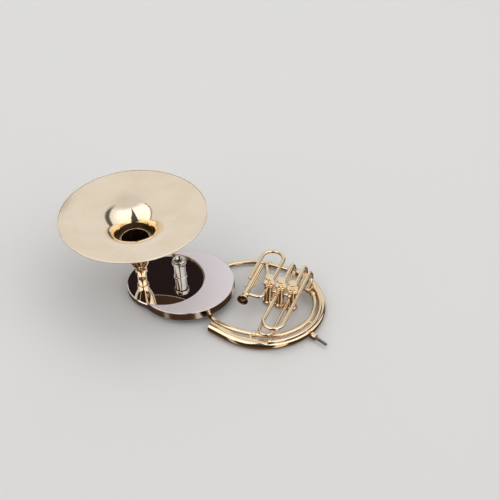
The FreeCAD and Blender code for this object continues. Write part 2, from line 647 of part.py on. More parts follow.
turned("mouthpiece_receiver", [
    ("shank_radius + shank_fit", "solder_gap"),
    ("receiver_radius - collar_lip", "solder_gap"),
    ("receiver_radius", "receiver_length * 0.25"),
    ("receiver_radius", "receiver_length * 0.8"),
    ("receiver_radius - collar_lip / 2", "receiver_length"),
    ("shank_radius + shank_fit", "receiver_length"),
], MOUTH)

CUP_START = "receiver_length + solder_gap"
RIM_FACE = CUP_START + " + cup_length"
RIM_LIP = RIM_FACE + " - rim_roll * 0.6"
turned("mouthpiece", [
    ("shank_radius * 0.94", CUP_START + " - shank_in"),
    ("shank_radius", CUP_START),
    ("cup_rim_radius * 0.36", CUP_START),
    ("cup_rim_radius * 0.36", CUP_START + " + cup_length * 0.14"),
    ("cup_rim_radius * 0.47", CUP_START + " + cup_length * 0.24"),
    ("cup_rim_radius * 0.65", CUP_START + " + cup_length * 0.36"),
    ("cup_rim_radius * 0.8", CUP_START + " + cup_length * 0.52"),
    ("cup_rim_radius * 0.89", CUP_START + " + cup_length * 0.7"),
    ("cup_rim_radius * 0.93", RIM_FACE + " - rim_roll * 1.6"),
    ("cup_rim_radius", RIM_FACE + " - rim_roll"),
    ("cup_rim_radius", RIM_FACE + " - rim_roll * 0.5"),
    ("cup_rim_radius - rim_roll", RIM_FACE),
    ("cup_mouth_radius", RIM_LIP),
    ("cup_mouth_radius * 0.92", RIM_LIP + " - cup_depth * 0.3"),
    ("cup_mouth_radius * 0.74", RIM_LIP + " - cup_depth * 0.62"),
    ("cup_mouth_radius * 0.46", RIM_LIP + " - cup_depth * 0.88"),
    ("throat_radius", RIM_LIP + " - cup_depth"),
    ("throat_radius", CUP_START + " - shank_in"),
], MOUTH)

neck_x = mm.lead_x - mm.lead_tube_radius - mm.neck_tube_radius - mm.solder_gap
neck_half = (VALVE_X[0] - neck_x) / 2
goose = bent([
    (neck_x, mm.neck_front_y, mm.lead_level), (neck_x, mm.gooseneck_y + neck_half, mm.lead_level),
    (VALVE_X[0], mm.gooseneck_y + neck_half, mm.lead_level), (VALVE_X[0], row_y, mm.lead_level)],
    (neck_half, neck_half))
goose_shape = rod(goose, mm.neck_tube_radius).cut(SKINS[0])
nose = [edge for edge in goose_shape.Edges
        if edge.BoundBox.YMax < mm.neck_front_y + mm.solder_gap and edge.BoundBox.XMax < mm.lead_x]
solid("gooseneck", goose_shape.makeFillet(mm.neck_tube_radius * 0.5, nose), COIL)

rod_x = mm.lead_x + mm.lead_tube_radius + mm.guide_rod_radius + mm.solder_gap
rod_middle = mm.lead_front_y + (mm.lead_end_y - mm.lead_front_y) * 0.5
rods = []
for x, end, length in (
        (neck_x, mm.neck_front_y, mm.tail_rod_length),
        (rod_x, rod_middle + mm.guide_rod_length / 2, mm.guide_rod_length)):
    foot = FreeCAD.Vector(x, end - length, mm.lead_level)
    bar = Part.makeCylinder(mm.guide_rod_radius, length, foot, FreeCAD.Vector(0, 1, 0))
    rods.append(bar.makeChamfer(mm.guide_rod_radius / 4, [
        edge for edge in bar.Edges if isinstance(edge.Curve, Part.Circle)]))
solid("leadpipe_side_rods", Part.makeCompound(rods), COIL)

# First valve: a small tube in front that meets the leadpipe, and one behind that joins the coil.
link_foot_x = VALVE_X[0] + mm.link_x
link = bent([
    (link_foot_x, row_y, mm.link_level), (link_foot_x, mm.link_y, mm.link_level),
    (mm.lead_x, mm.link_y, mm.link_level)], (mm.link_bend,))
solid("first_valve_front_tube", rod(link, mm.link_tube_radius).cut(SKINS[0]).cut(lead_skin), COIL)

RETURN_SHARES = ((0.0, 0.0, 0.0), (0.3, 0.2, 0.03), (0.62, 0.6, 0.16), (0.86, 0.84, 0.56), (1.0, 1.0, 1.0))
return_start = FreeCAD.Vector(VALVE_X[0], row_y + mm.casing_radius / 2, mm.lower_level + mm.return_radius)
return_end = polar(mm.return_angle, mm.coil_radius - mm.top_radius / 2, TOP_SHARES[-1][2] * mm.socket_radius)
step = return_end - return_start
return_points = [return_start + FreeCAD.Vector(a * step.x, b * step.y, c * step.z) for a, b, c in RETURN_SHARES]
back_tube = rod(Part.Wire(arcs(return_points)), mm.return_radius).cut(SKINS[0]).cut(top_skin).cut(second_skin)
collar_room = Part.makeCylinder(
    mm.top_radius + mm.collar_lip + mm.solder_gap, mm.collar_length + 2 * mm.solder_gap,
    second_start - second_start_way * (mm.collar_length / 2 + mm.solder_gap), second_start_way)
back_tube = back_tube.cut(collar_room)
solid("first_valve_back_tube", max(back_tube.Solids, key=lambda part: part.Volume), COIL)


# Slides: each has sleeves on the horn, and a bow whose inner legs run in them.
def legs(spots, way, lengths):
    """The inner legs of a bow, reaching into the sleeves."""
    return [Part.makeCylinder(mm.slide_inner_radius, length + mm.slide_seam, FreeCAD.Vector(*spot), way)
            for spot, length in zip(spots, lengths)]


def sleeve(start, end, trim=None):
    """A sleeve tube, trimmed to the casing it is soldered to."""
    start, end = FreeCAD.Vector(*start), FreeCAD.Vector(*end)
    way = (end - start).normalize()
    length = (end - start).Length
    shape = Part.makeCylinder(mm.slide_tube_radius, length, start, way)
    bore = Part.makeCylinder(
        mm.slide_inner_radius + mm.slide_fit, length + 2 * mm.overrun, start - way * mm.overrun, way)
    shape = shape.cut(bore)
    if trim:
        shape = shape.cut(trim)
    return max(shape.Solids, key=lambda part: part.Volume)


def bow(label, corners, radii, seats, way, lengths):
    """A bow as wide as its sleeves, with its inner legs."""
    shape = rod(bent(corners, radii), mm.slide_tube_radius)
    return solid(label, shape.fuse(legs(seats, way, lengths)).removeSplitter(), COIL)


upper, lower = mm.upper_level, mm.lower_level
sleeve_end, bow_start = mm.front_sleeve_end_y, mm.front_sleeve_end_y - mm.slide_seam
solid("front_slide_valve_sleeve", sleeve(
    (front_left, row_y, upper), (front_left, sleeve_end, upper), SKINS[1]), COIL)
solid("front_slide_long_tube", sleeve(
    (front_right, mm.tuning_sleeve_end_y, upper), (front_right, sleeve_end, upper)), COIL)
tip = mm.front_bow_y - mm.front_bow_radius
front_seats = [(front_left, bow_start, upper), (front_right, bow_start, upper)]
bow("front_slide", [front_seats[0], (front_left, tip, upper), (front_right, tip, upper), front_seats[1]],
    (mm.front_bow_radius,) * 2, front_seats, FreeCAD.Vector(0, 1, 0), (mm.slide_leg,) * 2)

# Lower loop: a fixed tube under the front slide. Its right leg rises in front of the third casing.
loop_left = VALVE_X[1] + mm.loop_side
loop_right = loop_left + 2 * mm.lower_bow_radius
loop_tip = mm.lower_bow_y - mm.lower_bow_radius
rise_y = row_y - mm.casing_radius - mm.loop_tube_radius - mm.solder_gap
loop_wire = bent([
    (loop_left, row_y, mm.loop_level), (loop_left, loop_tip, mm.loop_level), (loop_right, loop_tip, mm.loop_level),
    (loop_right, rise_y, mm.loop_level), (loop_right, rise_y, mm.loop_rise_level),
    (loop_right, row_y, mm.loop_rise_level)],
    (mm.lower_bow_radius, mm.lower_bow_radius, mm.loop_tube_radius * 1.2, mm.loop_tube_radius * 1.2))
loop_shape = rod(loop_wire, mm.loop_tube_radius).cut(SKINS[1]).cut(SKINS[2])
solid("lower_loop", max(loop_shape.Solids, key=lambda part: part.Volume), COIL)

# Second, third and tuning slides: upright hairpins that lean a little towards the coil's right.
for name, x, high, reach in (
        ("second", VALVE_X[1] + mm.slide_side, upper, mm.second_bow_y),
        ("third", VALVE_X[2] + mm.slide_side, upper, mm.third_bow_y),
        ("tuning", front_right, upper, mm.tuning_bow_y)):
    casing = {"second": SKINS[1], "third": SKINS[2]}.get(name)
    low_x = x + mm.slide_lean
    half = math.hypot(mm.slide_lean, high - lower) / 2
    high_end = mm.tuning_sleeve_end_y if name == "tuning" else mm.back_sleeve_end_y
    low_end = mm.back_sleeve_end_y if name == "second" else mm.tuning_sleeve_end_y
    low_foot = row_y if name == "second" else short_start
    sleeves = [sleeve((low_x, low_foot, lower), (low_x, low_end, lower), casing if name == "second" else None)]
    if name != "tuning":
        sleeves.append(sleeve((x, row_y, high), (x, high_end, high), casing))
    solid(name + "_slide_sleeves" if name != "tuning" else "tuning_slide_sleeve",
          Part.makeCompound(sleeves), COIL)
    seats = [(x, high_end + mm.slide_seam, high), (low_x, low_end + mm.slide_seam, lower)]
    bow(name + "_slide", [seats[0], (x, reach + half, high), (low_x, reach + half, lower), seats[1]],
        (half, half), seats, FRONT, (mm.slide_leg if name != "tuning" else mm.lower_leg, mm.lower_leg))

# Return curl: a thin tube from the third slide's lower sleeve over to the middle branch.
third_low_x = VALVE_X[2] + mm.slide_side + mm.slide_lean
curl_wire = bent([
    (third_low_x, short_start - mm.solder_gap, lower), (third_low_x, mm.curl_front_y, mm.curl_level),
    (middle_end.x - mm.middle_radius, mm.curl_front_y, mm.curl_level), tuple(middle_end)],
    (mm.curl_bend, mm.curl_bend))
collar_room = Part.makeCylinder(
    mm.middle_radius + mm.collar_lip + mm.solder_gap, mm.collar_length + 2 * mm.solder_gap,
    middle_end - middle_end_way * (mm.collar_length / 2 + mm.solder_gap), middle_end_way)
curl = rod(curl_wire, mm.curl_radius).cut(collar_room).cut(middle_skin)
solid("return_curl", max(curl.Solids, key=lambda part: part.Volume), COIL)

# Mounting stud: a flat-sided boss soldered to the big branch, and a steel rod screwed into it.
stud_turn = math.radians(mm.stud_angle)
stud_way = FreeCAD.Vector(math.cos(stud_turn), math.sin(stud_turn), 0)
stud_height = mm.branch_start_radius + mm.floor_gap
boss_foot = polar(mm.stud_angle, mm.coil_radius + mm.branch_end_radius, stud_height)
boss_face = mm.coil_radius + mm.branch_start_radius + mm.boss_length
boss = Part.makeBox(
    boss_face - mm.coil_radius - mm.branch_end_radius, mm.boss_flat, mm.boss_flat,
    FreeCAD.Vector(0, -mm.boss_flat / 2, -mm.boss_flat / 2))
boss = boss.makeChamfer(mm.edge_round, [edge for edge in boss.Edges if abs(edge.tangentAt(0).x) > 0.9])
boss.Placement = FreeCAD.Placement(boss_foot, FreeCAD.Rotation(FreeCAD.Vector(0, 0, 1), mm.stud_angle))
stud_hole = Part.makeCylinder(
    mm.stud_root_radius + mm.solder_gap, mm.boss_length,
    polar(mm.stud_angle, boss_face - mm.boss_length / 2, stud_height), stud_way)
solid("stud_boss", boss.cut(branch_skin).cut(stud_hole), COIL)
STUD = COIL.multiply(FreeCAD.Placement(
    polar(mm.stud_angle, boss_face, stud_height), FreeCAD.Rotation(FreeCAD.Vector(0, 0, 1), stud_way)))
turned("mounting_stud", [
    ("0", "-boss_length / 2 + solder_gap"),
    ("stud_root_radius", "-boss_length / 2 + solder_gap"),
    ("stud_root_radius", "solder_gap"),
    ("stud_radius", "solder_gap"),
    ("stud_radius", "stud_length - stud_tip"),
    ("stud_root_radius", "stud_length"),
    ("0", "stud_length"),
], STUD)


# Stand: a round base in two pieces, a satin crescent that holds a mirror disc, on a thin pad.
def disc_body(label, points, lift, height, place):
    body = doc.addObject("PartDesign::Body", label)
    sketch = body.newObject("Sketcher::SketchObject", label + "_outline")
    sketch.AttachmentSupport = [(plane_of(body, "XY_Plane"), "")]
    sketch.MapMode = "FlatFace"
    sketch.AttachmentOffset = FreeCAD.Placement(FreeCAD.Vector(0, 0, 0), FreeCAD.Rotation())
    sketch.setExpression(".AttachmentOffset.Base.z", bound(lift))
    for centre_text, radius_text in points:
        mark = sketch.addGeometry(Part.Circle(FreeCAD.Vector(-1, 0, 0), FreeCAD.Vector(0, 0, 1), 10), False)
        radius = sketch.addConstraint(Sketcher.Constraint("Radius", mark, 10))
        sketch.setExpression("Constraints[%d]" % radius, bound(radius_text))
        sketch.addConstraint(Sketcher.Constraint("PointOnObject", mark, 3, -1))
        if centre_text == "0":
            sketch.addConstraint(Sketcher.Constraint("PointOnObject", mark, 3, -2))
        else:
            place_x = sketch.addConstraint(Sketcher.Constraint("DistanceX", -1, 1, mark, 3, -1))
            sketch.setExpression("Constraints[%d]" % place_x, bound(centre_text))
    doc.recompute()
    pad = body.newObject("PartDesign::Pad", label + "_pad")
    pad.Profile = sketch
    pad.setExpression("Length", bound(height))
    body.Tip = pad
    doc.recompute()
    return body, pad


def pocket(body, label, centre_text, radius_text, across_text="0"):
    """A round cut right through a body."""
    sketch = body.newObject("Sketcher::SketchObject", label + "_outline")
    sketch.AttachmentSupport = [(plane_of(body, "XY_Plane"), "")]
    sketch.MapMode = "FlatFace"
    mark = sketch.addGeometry(Part.Circle(FreeCAD.Vector(-1, 1, 0), FreeCAD.Vector(0, 0, 1), 1), False)
    radius = sketch.addConstraint(Sketcher.Constraint("Radius", mark, 1))
    sketch.setExpression("Constraints[%d]" % radius, bound(radius_text))
    for kind, text, axis in (("DistanceX", centre_text, -2), ("DistanceY", across_text, -1)):
        if text == "0":
            sketch.addConstraint(Sketcher.Constraint("PointOnObject", mark, 3, axis))
        else:
            spot = sketch.addConstraint(Sketcher.Constraint(kind, -1, 1, mark, 3, 1))
            sketch.setExpression("Constraints[%d]" % spot, bound(text))
    doc.recompute()
    cut = body.newObject("PartDesign::Pocket", label)
    cut.Profile = sketch
    cut.Type = "ThroughAll"
    cut.Midplane = True
    body.Tip = cut
    doc.recompute()
    return cut


def edge_break(body, base, label, size_text, test):
    names = ["Edge%d" % (i + 1) for i, edge in enumerate(base.Shape.Edges) if test(edge)]
    soft = body.newObject("PartDesign::Chamfer", label)
    soft.Base = (base, names)
    soft.setExpression("Size", bound(size_text))
    body.Tip = soft
    doc.recompute()
    return soft


def level(edge, height):
    box = edge.BoundBox
    return abs(box.ZMin - height) < mm.solder_gap and abs(box.ZMax - height) < mm.solder_gap


crescent, crescent_pad = disc_body(
    "crescent_base", [("0", "crescent_radius")], "pad_thick", "crescent_height - pad_thick", STAND)
bite = pocket(crescent, "crescent_bite", "mirror_x", "mirror_radius + mirror_fit")
edge_break(crescent, bite, "crescent_edge", "edge_round", lambda edge: level(edge, mm.crescent_height))
named(crescent, "crescent_base", STAND)

mirror, mirror_pad = disc_body(
    "mirror_disc", [("mirror_x", "mirror_radius")], "pad_thick", "mirror_height - pad_thick", STAND)
post_hole = pocket(mirror, "mirror_post_hole", "post_x", "screw_radius + screw_fit", "post_y")
edge_break(mirror, post_hole, "mirror_bevel", "mirror_rim",
           lambda edge: level(edge, mm.mirror_height) and edge.Length > 6 * mm.mirror_radius)
named(mirror, "mirror_disc", STAND)

big = Part.makeCylinder(mm.crescent_radius - mm.pad_inset, mm.pad_thick)
small = Part.makeCylinder(mm.mirror_radius - mm.pad_inset, mm.pad_thick, FreeCAD.Vector(mm.mirror_x, 0, 0))
screw_clear = Part.makeCylinder(
    mm.screw_head_radius + mm.screw_fit, mm.pad_thick, FreeCAD.Vector(mm.post_x, mm.post_y, 0))
solid("base_pad", big.fuse(small).cut(screw_clear).removeSplitter(), STAND)

POST = at(STAND, mm.post_x, mm.post_y, 0)
turned("stand_post", [
    ("screw_radius + screw_fit", "mirror_height"),
    ("post_foot_radius", "mirror_height"),
    ("post_foot_radius", "mirror_height + post_foot_height - edge_round"),
    ("post_foot_radius - edge_round", "mirror_height + post_foot_height"),
    ("post_radius", "mirror_height + post_foot_height"),
    ("post_radius", "mirror_height + post_height - post_groove"),
    ("post_radius - post_groove", "mirror_height + post_height - post_groove"),
    ("post_radius - post_groove", "mirror_height + post_height"),
    ("post_hole_radius", "mirror_height + post_height"),
    ("post_hole_radius", "mirror_height + post_height + post_cap_height - post_hole_depth"),
    ("0", "mirror_height + post_height + post_cap_height - post_hole_depth"),
    ("0", "pad_thick + screw_length + screw_fit"),
    ("screw_radius + screw_fit", "pad_thick + screw_length + screw_fit"),
], POST)
CAP_TOP = "mirror_height + post_height + post_cap_height"
turned("post_cap", [
    ("post_hole_radius", "mirror_height + post_height"),
    ("post_cap_radius - edge_round", "mirror_height + post_height"),
    ("post_cap_radius", "mirror_height + post_height + edge_round"),
    ("post_cap_radius", CAP_TOP + " - post_cap_crown"),
    ("post_cap_radius * 0.96", CAP_TOP + " - post_cap_crown * 0.6"),
    ("post_cap_radius * 0.88", CAP_TOP + " - post_cap_crown * 0.31"),
    ("post_cap_radius * 0.76", CAP_TOP + " - post_cap_crown * 0.1"),
    ("post_cap_radius * 0.62", CAP_TOP),
    ("post_sink_radius", CAP_TOP),
    ("post_hole_radius", CAP_TOP + " - post_sink_depth"),
], POST)
turned("post_screw", [
    ("0", "pad_thick * 0.4"),
    ("screw_head_radius", "pad_thick * 0.4"),
    ("screw_head_radius", "pad_thick"),
    ("screw_radius", "pad_thick"),
    ("screw_radius", "pad_thick + screw_length"),
    ("0", "pad_thick + screw_length"),
], POST)

# Bell: a spun flare with a rolled rim, a throat ring, a swayed neck, and the tenon with its ferrule.
BELL = at(STAND, mm.bell_x, mm.bell_y, mm.mirror_height + mm.bell_gap)
FLARE_SHARES = (
    (0.0, 0.0), (0.11, 0.026), (0.22, 0.055), (0.376, 0.107), (0.533, 0.186), (0.69, 0.309), (0.808, 0.461),
    (0.886, 0.614), (0.945, 0.779), (1.0, 1.0))
span = mm.bell_radius - mm.throat_edge_radius
axis = FreeCAD.Vector(0, mm.neck_sway, 0)
UP = FreeCAD.Vector(0, 0, 1)
flare_top = mm.bell_height - mm.bead_radius
flare_inside = [
    axis + FreeCAD.Vector(mm.bell_radius - out * span, 0, flare_top - down * mm.throat_drop)
    for out, down in FLARE_SHARES]
inside = Part.BSplineCurve()
inside.interpolate(flare_inside)
flare_outside = []
for point in flare_inside:
    way = inside.tangent(inside.parameter(point))[0]
    flare_outside.append(point + FreeCAD.Vector(abs(way.z), 0, -abs(way.x)) * mm.bell_wall)
outside = Part.BSplineCurve()
outside.interpolate(flare_outside[::-1])
flare_face = Part.Face(Part.Wire([
    inside.toShape(), Part.LineSegment(flare_inside[-1], flare_outside[-1]).toShape(),
    outside.toShape(), Part.LineSegment(flare_outside[0], flare_inside[0]).toShape()]))
solid("bell_flare", flare_face.revolve(axis, UP, 360), BELL)

bead_flat = mm.bell_radius + mm.bell_wall * 0.35
bead_low = FreeCAD.Vector(bead_flat, mm.neck_sway, flare_top - mm.bell_wall - mm.bead_radius * 0.3)
bead_high = FreeCAD.Vector(bead_flat, mm.neck_sway, flare_top + mm.bead_radius * 0.4)
bead_far = (bead_low + bead_high) / 2 + FreeCAD.Vector(mm.bead_radius, 0, 0)
bead_face = Part.Face(Part.Wire([
    Part.Arc(bead_low, bead_far, bead_high).toShape(), Part.LineSegment(bead_high, bead_low).toShape()]))
solid("bell_rim_bead", bead_face.revolve(axis, UP, 360), BELL)

throat_level = flare_outside[-1].z
ring_base = throat_level - mm.throat_ring_height
ring_outline = [
    (mm.throat_edge_radius, throat_level), (mm.throat_edge_radius + mm.bell_wall, throat_level),
    (mm.neck_top_radius + mm.neck_wall, ring_base), (mm.throat_ring_radius, ring_base),
    (mm.throat_ring_radius, ring_base + mm.throat_lip), (mm.neck_top_radius, ring_base + mm.throat_lip),
    (mm.throat_edge_radius, throat_level)]
ring_face = Part.Face(Part.makePolygon([axis + FreeCAD.Vector(out, 0, up) for out, up in ring_outline]))
solid("bell_throat_ring", ring_face.revolve(axis, UP, 360), BELL)

NECK_SHARES = (
    (0.0, 0.0, 0.0), (0.12, 0.12, 0.07), (0.25, 0.36, 0.2), (0.4, 0.53, 0.38),
    (0.58, 0.68, 0.62), (0.78, 0.84, 0.86), (1.0, 1.0, 1.0))
neck_low = mm.tenon_length + mm.ferrule_length * 0.7
neck_high = ring_base


def neck_section(share, widen, lean, thin):
    radius = mm.neck_low_radius + widen * (mm.neck_top_radius - mm.neck_low_radius) - thin
    spot = FreeCAD.Vector(0, lean * mm.neck_sway, neck_low + share * (neck_high - neck_low))
    return Part.Wire([Part.makeCircle(radius, spot, FreeCAD.Vector(0, 0, 1))])


neck_outside = Part.makeLoft([neck_section(a, b, c, 0) for a, b, c in NECK_SHARES], True, False)
neck_inside = Part.makeLoft([neck_section(a, b, c, mm.neck_wall) for a, b, c in NECK_SHARES], True, False)
solid("bell_neck", neck_outside.cut(neck_inside), BELL)
turned("bell_ferrule", [
    ("tenon_radius - tenon_step + solder_gap", "tenon_length + solder_gap"),
    ("ferrule_radius - edge_round", "tenon_length + solder_gap"),
    ("ferrule_radius", "tenon_length + edge_round"),
    ("ferrule_radius", "tenon_length + ferrule_length * 0.7 - solder_gap - edge_round"),
    ("ferrule_radius - edge_round", "tenon_length + ferrule_length * 0.7 - solder_gap"),
    ("tenon_radius - tenon_step + solder_gap", "tenon_length + ferrule_length * 0.7 - solder_gap"),
], BELL)
turned("bell_tenon", [
    ("tenon_bore", "0"),
    ("tenon_radius - edge_round / 2", "0"),
    ("tenon_radius", "edge_round"),
    ("tenon_radius", "tenon_length"),
    ("tenon_radius - tenon_step", "tenon_length"),
    ("tenon_radius - tenon_step", "tenon_length + ferrule_length * 0.7 - solder_gap"),
    ("tenon_bore", "tenon_length + ferrule_length * 0.7 - solder_gap"),
], BELL)

doc.recompute()

for obj in doc.Objects:
    if "Invalid" in obj.State or "Error" in obj.State:
        raise RuntimeError("%s failed: %s" % (obj.Label, obj.State))
os.makedirs("parts", exist_ok=True)
low, high = [1e9] * 3, [-1e9] * 3
for node in NODES:
    shape = node.Shape
    if shape.isNull() or not shape.isValid() or not shape.Solids:
        raise RuntimeError("%s has no valid solid" % node.Label)
    box = shape.BoundBox
    low = [min(a, b) for a, b in zip(low, (box.XMin, box.YMin, box.ZMin))]
    high = [max(a, b) for a, b in zip(high, (box.XMax, box.YMax, box.ZMax))]
    shape.exportStep("parts/%s.step" % node.Label)
print("nodes", len(NODES), "low", [round(v, 2) for v in low], "high", [round(v, 2) for v in high])
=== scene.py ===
import json
import math

import bmesh
import bpy
from mathutils import Matrix, Vector

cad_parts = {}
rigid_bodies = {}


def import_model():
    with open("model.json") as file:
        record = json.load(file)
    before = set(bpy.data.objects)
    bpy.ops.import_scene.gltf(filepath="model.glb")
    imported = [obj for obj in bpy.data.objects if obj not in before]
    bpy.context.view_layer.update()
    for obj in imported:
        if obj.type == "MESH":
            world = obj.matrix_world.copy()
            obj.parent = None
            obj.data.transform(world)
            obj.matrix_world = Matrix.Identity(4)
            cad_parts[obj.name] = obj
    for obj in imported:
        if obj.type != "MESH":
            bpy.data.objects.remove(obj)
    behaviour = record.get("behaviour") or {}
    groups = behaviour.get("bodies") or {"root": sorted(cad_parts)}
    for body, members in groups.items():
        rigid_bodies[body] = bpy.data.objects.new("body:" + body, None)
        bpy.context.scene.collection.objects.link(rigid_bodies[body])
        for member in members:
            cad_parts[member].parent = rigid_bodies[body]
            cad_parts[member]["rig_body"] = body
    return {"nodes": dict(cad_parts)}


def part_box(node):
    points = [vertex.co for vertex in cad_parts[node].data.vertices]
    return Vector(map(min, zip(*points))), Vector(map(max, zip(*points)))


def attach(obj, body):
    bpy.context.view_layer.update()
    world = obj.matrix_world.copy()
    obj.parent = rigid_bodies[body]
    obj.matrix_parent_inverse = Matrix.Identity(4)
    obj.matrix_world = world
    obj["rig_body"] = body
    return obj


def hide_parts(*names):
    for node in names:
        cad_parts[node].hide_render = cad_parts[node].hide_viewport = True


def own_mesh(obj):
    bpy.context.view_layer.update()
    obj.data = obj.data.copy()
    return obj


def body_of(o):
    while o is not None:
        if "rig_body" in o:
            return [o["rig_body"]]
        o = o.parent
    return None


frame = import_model()
bpy.context.view_layer.update()
nodes = frame["nodes"]

# Camera. It looks down on the horn from the front right through a long lens, held a little askew,
# with the bell at the upper left and the coil at the lower right.
MM = 0.001
CAMERA_PLACE = Vector((176.951, -452.954, 448.963)) * MM
CAMERA_RIGHT = Vector((0.937241, 0.346984, 0.034361))
CAMERA_UP = Vector((-0.250791, 0.60237, 0.757796))
LENS_LENGTH = 102.04
SENSOR_WIDTH = 36.0
NEAREST_SEEN = 0.02
FARTHEST_SEEN = 20.0
camera_data = bpy.data.cameras.new("studio_camera")
camera_data.sensor_width = SENSOR_WIDTH
camera_data.lens = LENS_LENGTH
camera_data.clip_start, camera_data.clip_end = NEAREST_SEEN, FARTHEST_SEEN
camera = bpy.data.objects.new("studio_camera", camera_data)
bpy.context.scene.collection.objects.link(camera)
camera_turn = Matrix((CAMERA_RIGHT, CAMERA_UP, CAMERA_RIGHT.cross(CAMERA_UP))).transposed()
camera.matrix_world = Matrix.Translation(CAMERA_PLACE) @ camera_turn.to_4x4()
bpy.context.scene.camera = camera

# Table. A table top of pale matt paper, far wider than the view. The plated parts don't mirror it,
# and mirror the dark foot of the light tent in its place.
TABLE_HALF = 3.0
PAPER_COLOUR = (0.66, 0.655, 0.645, 1)
PAPER_ROUGHNESS = 0.85
bpy.context.scene.view_settings.view_transform = "Standard"
paper = bpy.data.materials.new("pale_paper")
paper.use_nodes = True
paper_shader = paper.node_tree.nodes["Principled BSDF"]
paper_shader.inputs["Base Color"].default_value = PAPER_COLOUR
paper_shader.inputs["Roughness"].default_value = PAPER_ROUGHNESS
table_mesh = bpy.data.meshes.new("table_top")
table_mesh.from_pydata(
    [(x * TABLE_HALF, y * TABLE_HALF, 0) for x, y in ((-1, -1), (1, -1), (1, 1), (-1, 1))],
    [], [(0, 1, 2, 3)])
table_mesh.materials.append(paper)
table_top = bpy.data.objects.new("table_top", table_mesh)
bpy.context.scene.collection.objects.link(table_top)
table_top.visible_glossy = False

# Ceiling panel. A soft light in a wide frame hangs over the table and aims at the horn. It only
# lights: neither the camera nor the plate sees it.
PANEL_WIDTH = 0.8
PANEL_DEPTH = 0.6
PANEL_GLOW = 0.9
PANEL_COLOUR = (1.0, 0.985, 0.96)
PANEL_PLACE = (-0.06, 0.22, 0.75)
PANEL_AIM = Vector((-0.02, 0, 0.02))
panel_data = bpy.data.lights.new("ceiling_panel", "AREA")
panel_data.shape = "RECTANGLE"
panel_data.size, panel_data.size_y = PANEL_WIDTH, PANEL_DEPTH
panel_data.energy = PANEL_GLOW * math.pi * PANEL_WIDTH * PANEL_DEPTH
panel_data.color = PANEL_COLOUR
panel = bpy.data.objects.new("ceiling_panel", panel_data)
panel.visible_camera = False
panel.visible_glossy = False
bpy.context.scene.collection.objects.link(panel)
panel.location = PANEL_PLACE
panel.rotation_mode = "QUATERNION"
panel.rotation_quaternion = (panel.location - PANEL_AIM).to_track_quat("Z", "Y")

# Light tent. White cloth all round, brighter in front, with a dark slot where the camera looks in
# and a dark gap at each end. Its foot, below the table's level, is dark cloth with three long
# lights. Polished plate shows only what it mirrors, so these bands draw its highlights.
CAMERA_AZIMUTH = 18.6
TENT_GLOW = 0.80
FRONT_GLOW = 1.4
CEILING_GLOW = 0.70
CEILING_RISE = (0.87, 0.96)
SLOT_GLOW = 0.06
SLOT_TAPER = 0.55
SLOT_HALF = (0.52, 0.56)
HEM_LEAN = (-0.13, 0.24)
HEM_RISE = (0.02, 0.14)
FOOT_COLOURS = ((0.12, 0.072, 0.05, 1), (0.03, 0.018, 0.016, 1))
FOOT_RISE = (-0.95, -0.3)
LIGHTS_RISE = (-0.9, -0.7)
LIGHTS_TINT = (1, 0.93, 0.82)
LIGHTS_EDGE = 3
# Angles round the tent from the camera, towards its right, and how bright the cloth is there.
CLOTH_BANDS = (
    (-92, TENT_GLOW), (-88, 0.3), (-86, 0.3), (-82, FRONT_GLOW), (70, FRONT_GLOW), (112, 0.95),
    (122, 0.9), (126, 0.12), (139, 0.12), (143, TENT_GLOW))
# The long lights in the foot: the angle of each one's middle, half its width, and its brightness.
FOOT_LIGHTS = ((-46, 4, 0.5), (34, 8, 0.85), (148, 9, 0.6))
tent = bpy.data.worlds.new("light_tent")
bpy.context.scene.world = tent
tent.use_nodes = True
tent_tree = tent.node_tree


def added(tree, kind, inputs=(), **settings):
    """Adds a node to a tree. Each input takes a value or another node's output."""
    node = tree.nodes.new(kind)
    for name, value in settings.items():
        setattr(node, name, value)
    for place, value in dict(inputs).items():
        if isinstance(value, bpy.types.NodeSocket):
            tree.links.new(value, node.inputs[place])
        else:
            node.inputs[place].default_value = value
    return node


def tent_math(operation, *values):
    return added(
        tent_tree, "ShaderNodeMath", dict(enumerate(values)), operation=operation).outputs[0]


def tent_step(value, low, high):
    """A soft step: nothing up to the low value, all from the high one."""
    return added(tent_tree, "ShaderNodeMapRange", {
        "Value": value, "From Min": low, "From Max": high}).outputs["Result"]


def tent_mix(share, first, second, blend="MIX"):
    return added(tent_tree, "ShaderNodeMix", {
        "Factor": share, "A": first, "B": second,
    }, data_type="RGBA", blend_type=blend).outputs["Result"]


def tent_ring(ends, bands):
    """Bands of colour all round the tent."""
    ring = added(tent_tree, "ShaderNodeValToRGB", {"Fac": turn_share})
    for end in (0, 1):
        ring.color_ramp.elements[end].color = (*ends, 1)
    for angle, colour in bands:
        stop = ring.color_ramp.elements.new((angle + CAMERA_AZIMUTH) / 360 + 0.5)
        stop.color = (*colour, 1)
    return ring.outputs["Color"]


look = added(tent_tree, "ShaderNodeTexCoord").outputs["Generated"]
look_x, look_y, look_z = added(tent_tree, "ShaderNodeSeparateXYZ", {0: look}).outputs
azimuth = tent_math("ARCTAN2", look_x, tent_math("MULTIPLY", look_y, -1.0))
turn_share = tent_math("MULTIPLY_ADD", azimuth, 0.5 / math.pi, 0.5)
white_cloth = tent_ring([TENT_GLOW] * 3, [(angle, [glow] * 3) for angle, glow in CLOTH_BANDS])
